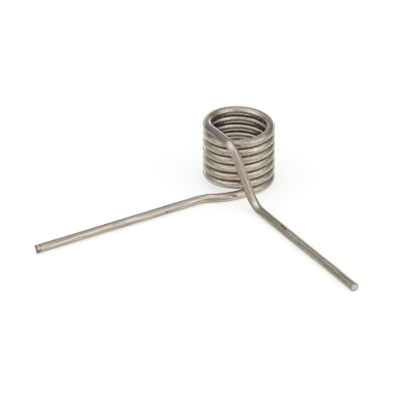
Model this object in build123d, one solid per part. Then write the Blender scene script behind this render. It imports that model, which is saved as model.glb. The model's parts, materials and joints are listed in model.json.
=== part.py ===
from build123d import *
import os
from math import atan, cos, pi, radians, sin

# Torsion spring bent from one length of round steel wire, wound right-handed and close.
# Millimetres. The coil stands on +Z, and both straight legs lie on the plane z = 0.
# The lower leg leaves the coil's -Y side along -X, and the upper leg its -X side near -Y.

# Wire and coil. The legs point the same way at every half turn, and LEG_ANGLE opens them.
WIRE_DIA = 3.175
COIL_OUTSIDE_DIA = 25.4
TURN_GAP = 0.02
HALF_TURNS = 13
LEG_ANGLE = 88.0

# Each end leaves the coil straight along its helix, then levels out in one easy bend.
RUN_OUT = 2.83
RUN_OUT_RADIUS = 22.6

# Lower leg: a sideways step in its own plane, towards the coil's axis.
# Lead and reach are measured along the leg from the coil's axis, and so they are below.
LOWER_LEAD = 10.74
LOWER_STEP = 8.62
LOWER_INSET = 4.47
LOWER_FIRST_RADIUS = 24.7
LOWER_SECOND_RADIUS = 10.4
LOWER_REACH = 88.3

# Upper leg: a steep drop from the top of the coil to the plane of the lower leg.
UPPER_LEAD = 14.40
UPPER_STEP = 7.26
UPPER_INSET = 4.84
UPPER_FIRST_RADIUS = 4.2
UPPER_SECOND_RADIUS = 6.15
UPPER_REACH = 88.3

# Cut ends: the lower one is sheared aslant, the upper one cut square and deburred.
SHEAR_ANGLE = 24.0
SHEAR_ROLL = -33.0
BURR_ROUND = 0.25

WIRE_RADIUS = WIRE_DIA / 2
MEAN_RADIUS = (COIL_OUTSIDE_DIA - WIRE_DIA) / 2
PITCH = WIRE_DIA + TURN_GAP
TURNS = HALF_TURNS / 2 + LEG_ANGLE / 360
HELIX_ANGLE = atan(PITCH / (2 * pi * MEAN_RADIUS))
START_HEIGHT = WIRE_RADIUS + RUN_OUT * sin(HELIX_ANGLE)


def coil_path():
    """The body's helix, from the lower take-off on the -Y side up to the upper one."""
    helix = Helix(PITCH, TURNS * PITCH, MEAN_RADIUS)
    return Pos(0, 0, START_HEIGHT) * Rot(0, 0, -90) * helix


def leg_path(take_off, leaving, lead, step, inset, reach, radii):
    """A leg's centre line from its take-off, where the wire is heading in leaving."""
    outward = Vector(leaving.X, leaving.Y, 0).normalized()
    inward = Vector(-take_off.X, -take_off.Y, 0).normalized()
    run_out = take_off + leaving * RUN_OUT
    first = take_off + outward * lead
    first.Z = run_out.Z
    second = first + outward * step + inward * inset
    second.Z = WIRE_RADIUS
    end = second + outward * (reach - lead - step)
    return FilletPolyline(take_off, run_out, first, second, end, radius=[RUN_OUT_RADIUS, *radii])


def wire_along(path):
    """Round wire along a centre line."""
    section = Plane(path @ 0, z_dir=path % 0) * Circle(WIRE_RADIUS)
    return sweep(section, path=path, is_frenet=True)


def lower_leg(take_off, leaving):
    path = leg_path(
        take_off,
        leaving,
        LOWER_LEAD,
        LOWER_STEP,
        LOWER_INSET,
        LOWER_REACH,
        [LOWER_FIRST_RADIUS, LOWER_SECOND_RADIUS],
    )
    # The shear plane leans towards this direction and passes through the longest side of the tip.
    lean = Vector(0, cos(radians(SHEAR_ROLL)), sin(radians(SHEAR_ROLL)))
    square = Plane(path @ 1 - lean * WIRE_RADIUS, x_dir=lean, z_dir=path % 1)
    shear = square.rotated((0, SHEAR_ANGLE, 0))
    return split(wire_along(path), bisect_by=shear, keep=Keep.BOTTOM)


def upper_leg(take_off, leaving):
    path = leg_path(
        take_off,
        leaving,
        UPPER_LEAD,
        UPPER_STEP,
        UPPER_INSET,
        UPPER_REACH,
        [UPPER_FIRST_RADIUS, UPPER_SECOND_RADIUS],
    )
    wire = wire_along(path)
    tip = wire.faces().sort_by_distance(path @ 1)[0]
    return fillet(tip.edges(), BURR_ROUND)


def spring():
    coil = coil_path()
    return lower_leg(coil @ 0, -(coil % 0)) + wire_along(coil) + upper_leg(coil @ 1, coil % 1)


os.makedirs("parts", exist_ok=True)
export_step(spring(), "parts/spring.step")
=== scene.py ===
import json
from math import atan, cos, pi, radians, sin, tan

import bmesh
import bpy
from mathutils import Matrix, Vector


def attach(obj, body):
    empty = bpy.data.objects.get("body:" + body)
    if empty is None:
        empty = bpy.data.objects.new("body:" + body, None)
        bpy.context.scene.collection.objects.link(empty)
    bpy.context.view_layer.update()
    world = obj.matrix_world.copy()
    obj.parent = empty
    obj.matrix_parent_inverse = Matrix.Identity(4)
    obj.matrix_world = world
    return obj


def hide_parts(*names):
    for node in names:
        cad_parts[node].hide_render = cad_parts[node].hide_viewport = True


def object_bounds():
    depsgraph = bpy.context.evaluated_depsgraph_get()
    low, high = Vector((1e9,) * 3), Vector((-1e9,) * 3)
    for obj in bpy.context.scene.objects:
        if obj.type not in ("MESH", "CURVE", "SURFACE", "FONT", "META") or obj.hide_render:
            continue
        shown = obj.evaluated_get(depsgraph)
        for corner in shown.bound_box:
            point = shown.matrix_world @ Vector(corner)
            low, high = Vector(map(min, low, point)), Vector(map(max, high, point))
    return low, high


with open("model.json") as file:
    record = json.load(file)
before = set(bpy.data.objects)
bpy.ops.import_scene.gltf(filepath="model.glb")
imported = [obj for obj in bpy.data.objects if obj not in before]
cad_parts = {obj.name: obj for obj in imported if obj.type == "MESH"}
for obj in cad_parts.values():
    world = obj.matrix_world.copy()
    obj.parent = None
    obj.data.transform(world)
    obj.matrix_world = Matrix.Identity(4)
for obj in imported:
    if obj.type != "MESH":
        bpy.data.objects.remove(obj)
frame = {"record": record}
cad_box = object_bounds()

# A torsion spring of bare drawn steel wire on a white table. Metres, in the frame of the CAD part.
# The coil stands on +Z, and both straight legs lie on the plane z = 0. The lower leg leaves the
# coil's -Y side along -X, and the upper leg its -X side near -Y.
MM = 0.001
mounts = {m["name"]: m for m in frame["record"]["mounts"]}

# ---------------------------------------------------------------- sizes of the wire form
WIRE_R = mounts["lower_leg"]["dims"]["r_mm"] * MM
COIL_R = mounts["coil_bore"]["dims"]["r_mm"] * MM + WIRE_R
TURN_GAP = 0.02 * MM
PITCH = 2 * WIRE_R + TURN_GAP
# the legs point the same way at every half turn, and LEG_ANGLE opens them
HALF_TURNS = 13
LEG_ANGLE = 88
SWEEP = radians(HALF_TURNS * 180 + LEG_ANGLE)
HELIX_ANGLE = atan(PITCH / (2 * pi * COIL_R))
# each end leaves the coil straight along its helix, then levels out in one easy bend
RUN_OUT = 2.83 * MM
RUN_OUT_RADIUS = 22.6 * MM
START_HEIGHT = WIRE_R + RUN_OUT * sin(HELIX_ANGLE)
# legs in mm: lead and reach along the leg from the coil's axis, length and inset of the step, and
# the radii of its two corners
LOWER = dict(lead=10.74, step=8.62, inset=4.47, reach=88.3, radii=(24.7, 10.4))
UPPER = dict(lead=14.40, step=7.26, inset=4.84, reach=88.3, radii=(4.2, 6.15))
# the lower tip is sheared aslant, the upper one cut square, and both rims are rounded
SHEAR_ANGLE = radians(24)
SHEAR_ROLL = radians(-33)
SHEAR_ROUND = 0.12 * MM
BURR_ROUND = 0.25 * MM

# mesh: spacing of the rings, points in a ring, fewest steps in a bend, rings that lean with the shear
RING = 0.5 * MM
SIDES = 40
BEND_STEPS = 4
SHEARED_RINGS = 8
# cut ends: steps of the rolled rim, and the rings inside it as shares of its radius
ROLL_STEPS = 4
INNER_RINGS = (0.66, 0.33)
# faces that meet at more than this have a sharp edge between them
SHARP_EDGE = radians(50)
# map: strips of skin, the share of the map that they take, their margin, and what a disc fills of
# the square left to it
STRIPS = 8
SKIN_SHARE = 0.965
MAP_EDGE = 0.003
DISC_FILL = 0.9
# the flank of a turn, as its middle and half height in wire radii above the wire's middle
FLANK = -0.14
FLANK_HALF = 0.42
# a point of the wire is on the coil up to this share of the coil's radius, and beyond that radius
# its flank fades, the faster the higher the rate
ON_COIL = 1.01
FLANK_FADE = 4


# ---------------------------------------------------------------- centre line
def helix():
    """Points and headings up the coil, from the lower take-off on its -Y side."""
    steps = round(SWEEP * COIL_R / RING)
    for i in range(steps + 1):
        turned = SWEEP * i / steps
        angle = turned - pi / 2
        height = START_HEIGHT + PITCH * turned / (2 * pi)
        point = Vector((COIL_R * cos(angle), COIL_R * sin(angle), height))
        level = cos(HELIX_ANGLE)
        heading = Vector((-sin(angle) * level, cos(angle) * level, sin(HELIX_ANGLE)))
        yield point, heading


def straight(start, end):
    """Points and headings along a straight run."""
    steps = max(1, round((end - start).length / RING))
    heading = (end - start).normalized()
    return [(start.lerp(end, i / steps), heading) for i in range(steps + 1)]


def bend(start, entry, leaving, radius):
    """Points and headings round one arc from start, turning from entry to leaving."""
    turn = entry.angle(leaving)
    inward = (leaving - entry * entry.dot(leaving)).normalized()
    steps = max(BEND_STEPS, round(turn * radius / RING))
    arc = []
    for i in range(steps + 1):
        a = turn * i / steps
        point = start + inward * radius * (1 - cos(a)) + entry * radius * sin(a)
        arc.append((point, entry * cos(a) + inward * sin(a)))
    return arc


def leg(take_off, heading, lead, step, inset, reach, radii):
    """The leg's line from its take-off: run-out, lead, step and straight, with rounded corners."""
    outward = Vector((heading.x, heading.y, 0)).normalized()
    inward = Vector((-take_off.x, -take_off.y, 0)).normalized()
    run_out = take_off + heading * RUN_OUT
    first = take_off + outward * lead * MM
    first.z = run_out.z
    second = first + (outward * step + inward * inset) * MM
    second.z = WIRE_R
    end = second + outward * (reach - lead - step) * MM
    corners, afters = [run_out, first, second], [first, second, end]
    rounds = [RUN_OUT_RADIUS, *[r * MM for r in radii]]
    line, here = [], take_off
    for corner, radius, after in zip(corners, rounds, afters):
        entry, leaving = (corner - here).normalized(), (after - corner).normalized()
        cut = radius * tan(entry.angle(leaving) / 2)
        line += straight(here, corner - entry * cut)[:-1]
        line += bend(corner - entry * cut, entry, leaving, radius)[:-1]
        here = corner + leaving * cut
    return line + straight(here, end)


def wire_line():
    """The whole wire from the sheared tip of the lower leg to the square tip of the upper one."""
    coil = list(helix())
    lower = leg(coil[0][0], -coil[0][1], **LOWER)
    upper = leg(coil[-1][0], coil[-1][1], **UPPER)
    return [(p, -h) for p, h in reversed(lower)] + coil[1:-1] + upper


# ---------------------------------------------------------------- wire mesh
class Tube:
    """The wire as rings of points, with each point's place on the wire and a map of strips.

    wire_place holds a point's place if the wire lay straight, in mm: x and y across it, z along
    it from the sheared tip. wire_round points round the wire. wire_crease holds how near a point
    of the coil is to the next turn (1 where they all but touch), how far it faces out of the
    coil (-1 to 1), and how much it is the flank below a turn's middle (0 to 1).
    """

    def __init__(self, line):
        self.line = line
        self.bm = bmesh.new()
        self.place = self.bm.verts.layers.float_vector.new("wire_place")
        self.round_way = self.bm.verts.layers.float_vector.new("wire_round")
        self.crease = self.bm.verts.layers.float_vector.new("wire_crease")
        self.uv = self.bm.loops.layers.uv.new("OFBake")
        self.rings = []
        along, side = 0.0, line[0][1].orthogonal().normalized()
        for i, (point, heading) in enumerate(line):
            if i:
                along += (point - line[i - 1][0]).length
                side = line[i - 1][1].rotation_difference(heading) @ side
            self.rings.append(self.add_ring(point, heading, side, along))

    def add_ring(self, point, heading, side, along):
        """A ring of points round the wire, with what they hold."""
        across = heading.cross(side)
        ring = []
        for k in range(SIDES):
            a = 2 * pi * k / SIDES
            v = self.bm.verts.new(point + (side * cos(a) + across * sin(a)) * WIRE_R)
            v[self.place] = Vector((WIRE_R * cos(a), WIRE_R * sin(a), along)) / MM
            v[self.round_way] = across * cos(a) - side * sin(a)
            v[self.crease] = self.on_coil(point, (v.co - point) / WIRE_R)
            ring.append(v)
        return ring

    def on_coil(self, centre, facing):
        """The wire_crease value of a point that faces this way from the wire's middle."""
        risen = (centre.z - START_HEIGHT) / PITCH
        out = Vector((centre.x, centre.y, 0))
        touching = risen > 1 if facing.z < 0 else risen < SWEEP / (2 * pi) - 1
        near = abs(facing.z) if touching and out.length < COIL_R * ON_COIL else 0.0
        kept = max(0.0, 1 - FLANK_FADE * (out.length / COIL_R - 1))
        flank = max(0.0, 1 - abs(facing.z - FLANK) / FLANK_HALF) * kept
        return Vector((near, facing.dot(out.normalized()), flank))

    def skin(self):
        """Faces between the rings, mapped to STRIPS strips one above the other."""
        per_strip = -(-(len(self.rings) - 1) // STRIPS)
        for i, (a, b) in enumerate(zip(self.rings, self.rings[1:])):
            strip, first = divmod(i, per_strip)
            left, right = (MAP_EDGE + (1 - 2 * MAP_EDGE) * (first + d) / per_strip for d in (0, 1))
            for k in range(SIDES):
                low, high = (
                    strip + MAP_EDGE * STRIPS + (1 - 2 * MAP_EDGE * STRIPS) * (k + d) / SIDES
                    for d in (0, 1)
                )
                corners = [(left, low), (left, high), (right, high), (right, low)]
                ends = (a[k], a[(k + 1) % SIDES], b[(k + 1) % SIDES], b[k])
                self.add_face(ends, [(x, y / STRIPS * SKIN_SHARE) for x, y in corners])

    def add_face(self, verts, corners, material=0):
        face = self.bm.faces.new(verts)
        face.material_index = material
        for loop, corner in zip(face.loops, corners):
            loop[self.uv].uv = corner

    def close(self, rim, centre, outward, rounding, column):
        """Rolls the rim over by rounding and closes it with a flat face of its own material."""
        for v in rim:
            v.co -= outward * rounding
        rims = [rim]
        for step in range(1, ROLL_STEPS + 1):
            a = pi / 2 * step / ROLL_STEPS
            rims.append([self.pulled_in(v, centre, outward, rounding, a) for v in rim])
        for share in INNER_RINGS:
            rims.append([self.copied(v, centre.lerp(v.co, share), share) for v in rims[ROLL_STEPS]])
        middle = self.copied(rim[0], centre, 0)
        for i, (outer, inner) in enumerate(zip(rims, rims[1:])):
            self.ring_faces(outer, inner, column, 1 - i / len(rims), 1 - (i + 1) / len(rims))
        inmost = 1 / len(rims)
        for k in range(SIDES):
            corners = [self.on_disc(column, k, inmost), self.on_disc(column, k + 1, inmost)]
            ends = (rims[-1][k], rims[-1][(k + 1) % SIDES], middle)
            self.add_face(ends, [*corners, self.on_disc(column, 0, 0)], 1)

    def ring_faces(self, outer, inner, column, far, near):
        """Faces between two rings of a cut end."""
        for k in range(SIDES):
            ends = (outer[k], outer[(k + 1) % SIDES], inner[(k + 1) % SIDES], inner[k])
            spots = [(k, far), (k + 1, far), (k + 1, near), (k, near)]
            self.add_face(ends, [self.on_disc(column, *spot) for spot in spots], 1)

    def on_disc(self, column, k, share):
        """A point of the small disc that an end face takes in the map."""
        radius = (1 - SKIN_SHARE) / 2 * DISC_FILL * share
        a = 2 * pi * k / SIDES
        across = (column + 0.5) * (1 - SKIN_SHARE)
        return (across + radius * cos(a), (1 + SKIN_SHARE) / 2 + radius * sin(a))

    def copied(self, v, where, share):
        """A new point at where, with its place drawn in towards the wire's middle by share."""
        w = self.bm.verts.new(where)
        w[self.place] = v[self.place] * Vector((share, share, 1))
        w[self.round_way] = v[self.round_way]
        return w

    def pulled_in(self, v, centre, outward, rounding, a):
        """A new point at the angle a of the rim's rounding."""
        inward = (centre - v.co) - outward * outward.dot(centre - v.co)
        shift = inward.normalized() * rounding * (1 - cos(a)) + outward * rounding * sin(a)
        return self.copied(v, v.co + shift, 1 - rounding / WIRE_R * (1 - cos(a)))

    def to_piece(self, name):
        """The finished mesh as an object of the scene."""
        bmesh.ops.recalc_face_normals(self.bm, faces=self.bm.faces)
        mesh = bpy.data.meshes.new(name)
        self.bm.to_mesh(mesh)
        self.bm.free()
        mesh.polygons.foreach_set("use_smooth", [True] * len(mesh.polygons))
        mesh.set_sharp_from_angle(angle=SHARP_EDGE)
        piece = bpy.data.objects.new(name, mesh)
        bpy.context.scene.collection.objects.link(piece)
        return piece


def shear(tube):
    """Leans the first rings onto the shear plane. Returns the cut's middle and the way it faces."""
    tip, heading = tube.line[0]
    outward = -heading
    lean = Vector((0, cos(SHEAR_ROLL), sin(SHEAR_ROLL)))
    slope = tan(SHEAR_ANGLE)
    for i, ring in enumerate(tube.rings[:SHEARED_RINGS]):
        for v in ring:
            back = slope * (WIRE_R + (v.co - tip).dot(lean)) * (1 - i / SHEARED_RINGS)
            v.co -= outward * back
            v[tube.place] += Vector((0, 0, back / MM))
    return tip - outward * slope * WIRE_R, (outward + lean * slope).normalized()


def make_wire(name):
    """The whole wire, sheared at the lower tip and closed at both."""
    tube = Tube(wire_line())
    middle, facing = shear(tube)
    tube.skin()
    tube.close(tube.rings[0], middle, facing, SHEAR_ROUND, 0)
    tube.close(tube.rings[-1], tube.line[-1][0], tube.line[-1][1], BURR_ROUND, 1)
    return tube.to_piece(name)


# ---------------------------------------------------------------- node trees
# a mark is whole up to the smaller share of its half sizes and gone beyond the larger
MARK_EDGE = (1.3, 0.6)


class Nodes:
    """A short way to write a node tree: each call adds its nodes and returns what they give."""

    def __init__(self, tree):
        self.tree = tree

    def add(self, kind, inputs=(), output=0, **settings):
        """Adds a node, with values or other nodes' outputs as its inputs, and returns one output."""
        node = self.tree.nodes.new(kind)
        for key, value in settings.items():
            setattr(node, key, value)
        for key, value in dict(inputs).items():
            if isinstance(value, bpy.types.NodeSocket):
                self.link(value, node.inputs[key])
            else:
                node.inputs[key].default_value = value
        return node.outputs[output]

    def link(self, value, socket):
        self.tree.links.new(value, socket)

    def attribute(self, name):
        return self.add("ShaderNodeAttribute", output=1, attribute_name=name)

    def parts(self, vector):
        """The x, y and z of a vector."""
        return self.add("ShaderNodeSeparateXYZ", {0: vector}).node.outputs

    def math(self, operation, *values):
        return self.add("ShaderNodeMath", dict(enumerate(values)), operation=operation)

    def vector(self, operation, *values, output=0):
        return self.add("ShaderNodeVectorMath", dict(enumerate(values)), output, operation=operation)

    def scale(self, colour, factor):
        scaled = self.vector("SCALE", colour)
        self.link(factor, scaled.node.inputs["Scale"])
        return scaled

    def mix(self, share, a, b):
        return self.add("ShaderNodeMix", {"Factor": share, "A": a, "B": b}, 2, data_type="RGBA")

    def blend(self, *shares):
        """Weighted sum of (value, weight) pairs."""
        parts = [self.math("MULTIPLY", value, weight) for value, weight in shares]
        total = parts[0]
        for part in parts[1:]:
            total = self.math("ADD", total, part)
        return total

    def ragged(self, value, noise, amount):
        """Value, moved up or down by the noise, by half of amount at most."""
        return self.math("ADD", value, self.math("MULTIPLY", self.math("SUBTRACT", noise, 0.5), amount))

    def span(self, value, low, high, to_low=0.0, to_high=1.0):
        """Eases value from to_low at low to to_high at high."""
        keys = {"Value": value, "From Min": low, "From Max": high, "To Min": to_low, "To Max": to_high}
        return self.add("ShaderNodeMapRange", keys, interpolation_type="SMOOTHSTEP")

    def band(self, value, low, high, soft):
        """1 where value is between low and high, with ends that ease over soft to either side."""
        above = self.span(value, low - soft, low + soft)
        below = self.span(value, high + soft, high - soft)
        return self.math("MULTIPLY", above, below)

    def ramp(self, value, stops):
        """Colours at these places of value, the first of them 0, with straight blends between."""
        length = stops[-1][0]
        colours = self.add("ShaderNodeValToRGB", {0: self.math("DIVIDE", value, length)})
        ramp = colours.node.color_ramp
        for place, colour in stops[1:-1]:
            ramp.elements.new(place / length).color = colour
        ramp.elements[0].color, ramp.elements[-1].color = stops[0][1], stops[-1][1]
        return colours

    def spot(self, place, middle, half_width, half_length):
        """1 in an oval of about these half sizes on the wire, easing to 0 round its edge."""
        off = self.vector("SUBTRACT", place, middle)
        off = self.vector("MULTIPLY", off, (1 / half_width, 1 / half_width, 1 / half_length))
        return self.span(self.vector("LENGTH", off, output=1), *MARK_EDGE)

    def noise(self, place, scale, detail, roughness):
        """Noise about 0.5 with scale in features per mm: x and y across the wire, z along it."""
        stretched = self.vector("MULTIPLY", place, scale)
        keys = {"Vector": stretched, "Scale": 1.0, "Detail": detail, "Roughness": roughness}
        return self.add("ShaderNodeTexNoise", keys)

    def bump(self, height, distance):
        return self.add("ShaderNodeBump", {"Height": height, "Distance": distance, "Strength": 1.0})


def new_metal(name):
    """A new metal, the nodes to write it with and the inputs of its shader."""
    material = bpy.data.materials.new(name)
    material.use_nodes = True
    surface = material.node_tree.nodes["Principled BSDF"].inputs
    surface["Metallic"].default_value = 1.0
    return material, Nodes(material.node_tree), surface


# ---------------------------------------------------------------- drawn steel
# noises: features per mm across and along the wire, detail, roughness
LINES = ((1.7, 1.7, 0.045), 3, 0.65)
FINE_LINES = ((3.4, 3.4, 0.12), 2, 0.6)
MOTTLE = ((0.8, 0.8, 0.06), 2, 0.5)
GRAIN = ((2.4, 2.4, 1.1), 3, 0.7)
# stretches of a noise, which lies about 0.5, over which it goes from its least effect to its most
DULL_SPAN = (0.42, 0.58)
STREAK_SPAN = (0.38, 0.62)
GRAIN_SPAN = (0.36, 0.64)
SCATTER_SPAN = (0.35, 0.65)

# bare metal, and the duller skin that covers it in mottles
BRIGHT = (0.567, 0.502, 0.406, 1)
OXIDE = (0.446, 0.389, 0.300, 1)
# drawing lines, as shares of the colour, and their depth
STREAKS = (0.70, 1.27)
DRAWN_DEPTH = 0.02 * MM
# speckle, as a share of the colour either way
SPECKLE = 0.19
# roughness, how far it is stretched round the wire, and how much less it is near the next turn, from
# and to which nearness
SCATTER = (0.215, 0.275)
SCATTER_STRETCH = 0.8
BURNISH = 0.05
BURNISH_SPAN = (0.25, 0.75)

# painted shade where the turns all but touch: from and to which nearness, how ragged, which ways
# count as facing out of the coil, and how much of it is left there
CREASE_SHADE = (0.07, 0.050, 0.028, 1)
CREASE_SHADE_SPAN = (0.86, 0.99)
CREASE_SHADE_RAGGED = 0.2
OUTSIDE_SPAN = (-0.05, 0.25)
CREASE_SHADE_OUTSIDE = 0.2
# painted reflection: the flank below a turn's middle is made brighter: from and to which share of it,
# and how much
FLANK_SPAN = (0.1, 0.8)
FLANK_PAINTED_SHEEN = 1.24

# Places along the wire are in mm from the sheared tip. The lower leg's straight runs to 66, its step
# to 84, the coil from 89 to 560, the upper leg's lead to 572, its drop to 601 and its straight to 663.
# place, tone of the skin there, share of its blue that is kept
TONES = [
    (0, 0.87, 1.02),
    (60, 0.88, 1.0),
    (76, 0.96, 0.97),
    (96, 0.79, 0.98),
    (488, 0.79, 0.98),
    (505, 0.72, 0.98),
    (518, 0.84, 0.99),
    (548, 0.88, 0.98),
    (565, 0.78, 0.94),
    (592, 0.76, 0.95),
    (604, 0.85, 0.92),
    (663, 0.85, 0.93),
]
# the lower leg is cleaner: speckle at this share up to the first place, and whole from the second
CLEAN_LEG = (62, 92)
CLEAN_SHARE = 0.35
# painted shade on the strand from the end of the coil to the drop: from, to and softness of its
# ends, how ragged they are, and how much of its colour the drawing lines take, the least and the most
DARK_STRAND = (552.0, 572.4, 0.3)
STRAND_RAGGED = 1.5
STRAND_COVER = (0.45, 1.0)
STRAND = (0.297, 0.257, 0.200, 1)
# painted light on the bend after it: from, to and softness, and how much of the colour it takes
PAINTED_BEND_LIGHT_PATCH = (572.4, 575.4, 0.5)
PAINTED_BEND_LIGHT_SHARE = 0.6
PAINTED_BEND_LIGHT = (0.43, 0.39, 0.35, 1)
# the sheared tip is burnt up to the second place, and clean from the first
BURNT_TIP = (1.2, 0.4)
BURNT_RAGGED = 1.6
BURNT = (0.20, 0.13, 0.105, 1)
# middle of the mark (x, y across the wire and z along it), half its width, half its length, colour
MARKS_AND_PAINTED_LIGHT = [
    # specks on the upper leg's straight and on the lower leg
    ((-1.56, 0.26, 615.5), 0.36, 1.0, (0.11, 0.10, 0.08, 1)),
    ((-1.58, 0.05, 617.4), 0.32, 0.9, (0.11, 0.10, 0.085, 1)),
    ((-1.18, 1.05, 53.3), 0.34, 0.6, (0.20, 0.12, 0.095, 1)),
    # a light spot at the foot of the drop, and painted shade in a line down it
    ((-1.55, 0.20, 596.7), 0.50, 1.4, (0.49, 0.445, 0.40, 1)),
    ((-1.53, -0.40, 586.0), 0.45, 8.0, (0.33, 0.29, 0.235, 1)),
    # painted highlights on the crest of the lower leg's step, a spot at its start and a line along it,
    # and painted shade in a line below them
    ((0.55, 1.49, 66.3), 0.45, 2.0, (0.80, 0.73, 0.65, 1)),
    ((0.66, 1.44, 74.0), 0.28, 4.5, (0.62, 0.53, 0.46, 1)),
    ((-1.13, 1.11, 74.0), 0.20, 4.5, (0.28, 0.25, 0.175, 1)),
    # painted shade along the underside of the strand, and a painted highlight along its upper edge
    ((-0.93, -1.28, 563.0), 0.90, 9.0, (0.20, 0.175, 0.135, 1)),
    ((-0.89, 1.32, 564.0), 0.60, 9.2, (0.7, 0.637, 0.546, 1)),
    # a painted highlight along the upper side of the lower leg
    ((1.42, 0.71, 33.0), 0.40, 42.0, (0.66, 0.601, 0.515, 1)),
    # painted shade along the underside of the upper leg's straight, and dark lines near its tip
    ((-0.93, -1.28, 630.0), 0.45, 32.0, (0.335, 0.29, 0.235, 1)),
    ((-1.57, 0.20, 658.5), 0.16, 5.5, (0.19, 0.16, 0.135, 1)),
    ((-1.15, -1.08, 656.5), 0.16, 4.5, (0.20, 0.18, 0.145, 1)),
    # two light spots of painted light that lift a dark reflection, and a black speck of painted shade
    # where the upper leg crosses in front, towards the step's other end
    ((-0.30, 1.55, 79.7), 0.34, 1.3, (0.72, 0.64, 0.52, 1)),
    ((-0.66, 1.44, 78.8), 0.36, 0.8, (0.56, 0.505, 0.43, 1)),
    ((1.29, 0.92, 83.9), 0.50, 0.9, (0.03, 0.022, 0.015, 1)),
    # burnt, light and dark spots round the sheared tip
    ((-1.25, 0.95, 0.8), 0.75, 0.8, (0.22, 0.15, 0.125, 1)),
    ((0.33, 1.55, 1.10), 0.36, 0.42, (0.46, 0.40, 0.36, 1)),
    ((-0.33, 1.55, 1.35), 0.34, 0.36, (0.43, 0.395, 0.335, 1)),
    ((0.40, 1.52, 2.05), 0.50, 0.28, (0.15, 0.135, 0.105, 1)),
    ((-0.90, 1.30, 1.75), 0.50, 0.28, (0.16, 0.135, 0.105, 1)),
]


def skin_colour(n, along, lines, mottle):
    """Bare metal under a dull mottled skin, lighter and darker along the wire."""
    dull = n.span(n.blend((mottle, 0.6), (lines, 0.4)), *DULL_SPAN)
    tones = n.ramp(along, [(place, (tone, tone, tone * blue, 1)) for place, tone, blue in TONES])
    return n.vector("MULTIPLY", n.mix(dull, BRIGHT, OXIDE), tones)


def strand_bend_and_tip(n, colour, along, fine, grain):
    """Adds the painted shade on the strand, the painted light on the bend after it and the burnt tip.
    """
    # painted shade on the strand, broken by the drawing lines
    strand = n.band(n.ragged(along, grain, STRAND_RAGGED), *DARK_STRAND)
    strand = n.math("MULTIPLY", strand, n.span(fine, *DULL_SPAN, *STRAND_COVER))
    colour = n.mix(strand, colour, STRAND)
    # painted light on the bend after the strand
    bend_light = n.math("MULTIPLY", n.band(along, *PAINTED_BEND_LIGHT_PATCH), PAINTED_BEND_LIGHT_SHARE)
    colour = n.mix(bend_light, colour, PAINTED_BEND_LIGHT)
    burnt = n.span(n.ragged(along, grain, BURNT_RAGGED), *BURNT_TIP)
    return n.mix(burnt, colour, BURNT)


def creased(n, colour, near, outer, flank, grain):
    """Adds painted shade between the turns, and a painted reflection that brightens their flanks."""
    # painted shade where the turns all but touch, mostly inside the coil
    crease_shade = n.span(n.ragged(near, grain, CREASE_SHADE_RAGGED), *CREASE_SHADE_SPAN)
    kept = n.span(outer, *OUTSIDE_SPAN, 1.0, CREASE_SHADE_OUTSIDE)
    colour = n.mix(n.math("MULTIPLY", crease_shade, kept), colour, CREASE_SHADE)
    # painted reflection: the flank below a turn's middle is made brighter
    return n.scale(colour, n.span(flank, *FLANK_SPAN, 1.0, FLANK_PAINTED_SHEEN))


def streaked(n, colour, along, lines, fine, grain):
    """Adds the drawing lines and the speckle."""
    streaks = n.span(n.blend((lines, 0.5), (fine, 0.5)), *STREAK_SPAN, *STREAKS)
    speckle = n.span(grain, *GRAIN_SPAN, -SPECKLE, SPECKLE)
    speckle = n.math("MULTIPLY", speckle, n.span(along, *CLEAN_LEG, CLEAN_SHARE, 1.0))
    return n.scale(colour, n.math("MULTIPLY", streaks, n.math("ADD", speckle, 1.0)))


def steel():
    """Bare drawn steel: a dull streaked skin with its stains, marks, painted light and painted shade,
    smoother where turns touch.
    """
    material, n, surface = new_metal("bare_drawn_steel")
    place = n.attribute("wire_place")
    along = n.parts(place)[2]
    near, outer, flank = n.parts(n.attribute("wire_crease"))
    lines = n.noise(place, *LINES)
    fine = n.noise(place, *FINE_LINES)
    mottle = n.noise(place, *MOTTLE)
    grain = n.noise(place, *GRAIN)

    colour = skin_colour(n, along, lines, mottle)
    colour = strand_bend_and_tip(n, colour, along, fine, grain)
    # marks, painted highlights and painted shade laid on the wire
    for middle, half_width, half_length, mark in MARKS_AND_PAINTED_LIGHT:
        colour = n.mix(n.spot(place, middle, half_width, half_length), colour, mark)
    colour = creased(n, colour, near, outer, flank, grain)
    n.link(streaked(n, colour, along, lines, fine, grain), surface["Base Color"])

    burnished = n.math("MULTIPLY", n.span(near, *BURNISH_SPAN), BURNISH)
    scatter = n.span(mottle, *SCATTER_SPAN, *SCATTER)
    n.link(n.math("SUBTRACT", scatter, burnished), surface["Roughness"])
    surface["Anisotropic"].default_value = SCATTER_STRETCH
    n.link(n.attribute("wire_round"), surface["Tangent"])
    n.link(n.bump(n.blend((lines, 0.6), (fine, 0.4)), DRAWN_DEPTH), surface["Normal"])
    return material


# ---------------------------------------------------------------- cut ends
# noises as above: torn metal, and scores that run across the cut
TEARS = ((2.4, 2.4, 2.4), 4, 0.65)
SCORES = ((6.0, 1.1, 1.0), 2, 0.5)
TORN_SPAN = (0.40, 0.62)
SCORE_TONES = (0.84, 1.12)
TORN_SCATTER = (0.36, 0.52)
TORN_DEPTH = 0.08 * MM
CUT = (0.64, 0.56, 0.49, 1)
TORN = (0.47, 0.40, 0.35, 1)
# painted shade on the rolled rim: from and to, in mm from the wire's middle, and how ragged
RIM_SPAN = (1.10, 1.50)
RIM_RAGGED = 0.5
CUT_RIM_SHADE = (0.25, 0.205, 0.165, 1)
# burnished on the +x side and away from the rim, in mm
BURNISHED_SIDE = (-0.1, 0.7)
BURNISHED_EDGE = (1.2, 0.7)
BURNISHED_SHARE = 0.7
BURNISHED = (0.66, 0.62, 0.57, 1)


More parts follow.
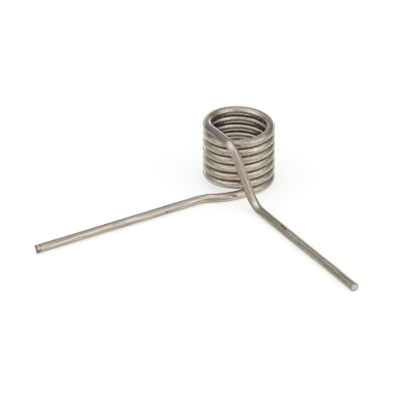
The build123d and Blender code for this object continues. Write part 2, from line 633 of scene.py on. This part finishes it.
def cut_steel():
    """The cut ends: a torn grey middle, scored across and burnished on one side, and painted shade on
    the rim.
    """
    material, n, surface = new_metal("sheared_steel")
    place = n.attribute("wire_place")
    torn = n.noise(place, *TEARS)
    scored = n.noise(place, *SCORES)
    radius = n.vector("LENGTH", n.vector("MULTIPLY", place, (1, 1, 0)), output=1)

    colour = n.mix(n.span(torn, *TORN_SPAN), CUT, TORN)
    # painted shade on the rolled rim
    colour = n.mix(n.span(n.ragged(radius, torn, RIM_RAGGED), *RIM_SPAN), colour, CUT_RIM_SHADE)
    burnished = n.span(n.parts(place)[0], *BURNISHED_SIDE)
    burnished = n.math("MULTIPLY", burnished, n.span(radius, *BURNISHED_EDGE))
    colour = n.mix(n.math("MULTIPLY", burnished, BURNISHED_SHARE), colour, BURNISHED)
    n.link(n.scale(colour, n.span(scored, *SCATTER_SPAN, *SCORE_TONES)), surface["Base Color"])
    n.link(n.span(torn, *SCATTER_SPAN, *TORN_SCATTER), surface["Roughness"])
    n.link(n.bump(n.blend((torn, 0.7), (scored, 0.3)), TORN_DEPTH), surface["Normal"])
    return material


# ---------------------------------------------------------------- table
TABLE_SIZE = 6
# warm enough to read as neutral under the slightly blue soft boxes
BOARD = (0.93, 0.91, 0.81, 1)
# share of plain white that the eye and the metal see in it
BOARD_WHITE = 0.65


def white_board():
    """White board that reads as white to the eye and in the metal, and still takes a soft shadow."""
    material = bpy.data.materials.new("white_board")
    material.use_nodes = True
    tree = material.node_tree
    tree.nodes.remove(tree.nodes["Principled BSDF"])
    n = Nodes(tree)
    path = n.add("ShaderNodeLightPath").node.outputs
    seen = n.math("MAXIMUM", path["Is Camera Ray"], path["Is Glossy Ray"])
    seen = n.math("MAXIMUM", seen, path["Is Transmission Ray"])
    matt = n.add("ShaderNodeBsdfDiffuse", {"Color": BOARD})
    white = n.add("ShaderNodeEmission", {"Color": (1, 1, 1, 1), "Strength": 1.0})
    board = n.add("ShaderNodeMixShader", {0: n.math("MULTIPLY", seen, BOARD_WHITE), 1: matt, 2: white})
    n.link(board, tree.nodes["Material Output"].inputs["Surface"])
    return material


def add_table():
    """A wide white table under the part."""
    bpy.ops.mesh.primitive_plane_add(size=TABLE_SIZE, location=(0, 0, cad_box[0][2]))
    table = bpy.context.object
    table.name = "table_top"
    table.data.materials.append(white_board())


# ---------------------------------------------------------------- camera
# the point aimed at, and the view's azimuth from +Y towards +X, its fall and its roll, in radians
CAMERA_AIM = Vector((-11.583, 7.312, -7.690)) * MM
CAMERA_AZIMUTH = radians(32.263)
CAMERA_DOWN = radians(28.655)
CAMERA_ROLL = -0.0021
# distance from that point and the width of the frame there, in metres, and the sensor in mm
CAMERA_DISTANCE = 2.29645
FRAME_WIDTH = 0.14132
SENSOR = 36.0


def add_camera():
    """Looks at the point aimed at, with a frame of the given width there."""
    data = bpy.data.cameras.new("camera")
    data.sensor_width = SENSOR
    data.lens = SENSOR * CAMERA_DISTANCE / FRAME_WIDTH
    camera = bpy.data.objects.new("camera", data)
    bpy.context.scene.collection.objects.link(camera)
    plan = Vector((sin(CAMERA_AZIMUTH), cos(CAMERA_AZIMUTH), 0))
    view = plan * cos(CAMERA_DOWN) - Vector((0, 0, sin(CAMERA_DOWN)))
    level = Vector((cos(CAMERA_AZIMUTH), -sin(CAMERA_AZIMUTH), 0))
    upright = level.cross(view)
    right = level * cos(CAMERA_ROLL) + upright * sin(CAMERA_ROLL)
    up = upright * cos(CAMERA_ROLL) - level * sin(CAMERA_ROLL)
    turn = Matrix((right, up, -view)).transposed().to_4x4()
    camera.matrix_world = Matrix.Translation(CAMERA_AIM - view * CAMERA_DISTANCE) @ turn
    bpy.context.scene.camera = camera


# ---------------------------------------------------------------- light
# Lights are given as azimuth from +X, elevation and width in degrees, and colour times strength.
# One soft box is overhead, and a low one is on each side that a leg points to.
SOFT_BOXES = [
    (-167, 75, 37, (1.66, 1.72, 1.94)),
    (184, 6, 25, (1.08, 1.09, 1.17)),
    (-66, 15, 25, (1.67, 1.71, 1.92)),
]
# The white sweep behind the table. Its middle is below the horizon, so that only its upper edge
# shows, and the limit keeps it from burning out where the metal's edges mirror it.
SWEEP_GLOW = (61, -53, 20, (203, 205, 220))
SWEEP_LIMIT = (1.6, 1.616, 1.728)
# nothing shines from below the horizon: heights of a unit direction between which the light starts
HORIZON = (-0.03, -0.01)


def light_from(n, direction, azimuth, elevation, width, colour):
    """Light that is strongest from one direction and fades over its width."""
    a, e = radians(azimuth), radians(elevation)
    axis = (cos(a) * cos(e), sin(a) * cos(e), sin(e))
    away = n.math("SUBTRACT", n.vector("DOT_PRODUCT", direction, axis, output=1), 1.0)
    glow = n.math("EXPONENT", n.math("MULTIPLY", away, 1 / radians(width) ** 2))
    return n.scale(colour, glow)


def add_world():
    """A dim studio: the soft boxes and the glow of the white sweep, down to the horizon."""
    world = bpy.data.worlds.new("studio")
    world.use_nodes = True
    n = Nodes(world.node_tree)
    direction = n.add("ShaderNodeTexCoord")
    total = n.vector("MINIMUM", light_from(n, direction, *SWEEP_GLOW), SWEEP_LIMIT)
    for soft_box in SOFT_BOXES:
        total = n.vector("ADD", total, light_from(n, direction, *soft_box))
    above = n.span(n.parts(direction)[2], *HORIZON)
    n.link(n.scale(total, above), world.node_tree.nodes["Background"].inputs["Color"])
    bpy.context.scene.world = world


# ---------------------------------------------------------------- scene
bpy.context.scene.view_settings.view_transform = "Standard"
wire = make_wire("spring_wire")
wire.data.materials.append(steel())
wire.data.materials.append(cut_steel())
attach(wire, "root")
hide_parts("spring")
add_camera()
add_table()
add_world()
